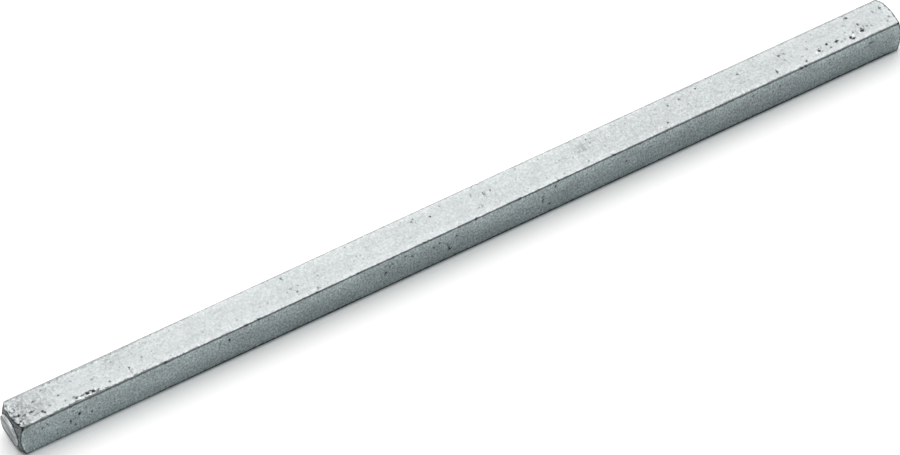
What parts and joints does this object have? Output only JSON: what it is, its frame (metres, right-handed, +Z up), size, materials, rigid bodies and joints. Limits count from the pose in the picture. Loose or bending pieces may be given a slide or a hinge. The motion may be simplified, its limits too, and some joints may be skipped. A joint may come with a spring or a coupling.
{
  "type": "key stock",
  "caption": "Straight square steel key stock with slightly rounded long edges and a flat cone turned on each end, cut up to make machine keys.",
  "frame": {"origin": "middle of the lower flat, halfway along the bar", "axes": "+X along the bar, +Y across it towards the rear flank, +Z up from the lower flat"},
  "size_m": [0.3, 0.012, 0.012],
  "materials": {
    "zinc_plate": "dull zinc plate over cold drawn steel, matt grain, small pits and scuffs"
  },
  "bodies": {
    "root": {"key_bar": "zinc_plate"}
  },
  "joints": []
}
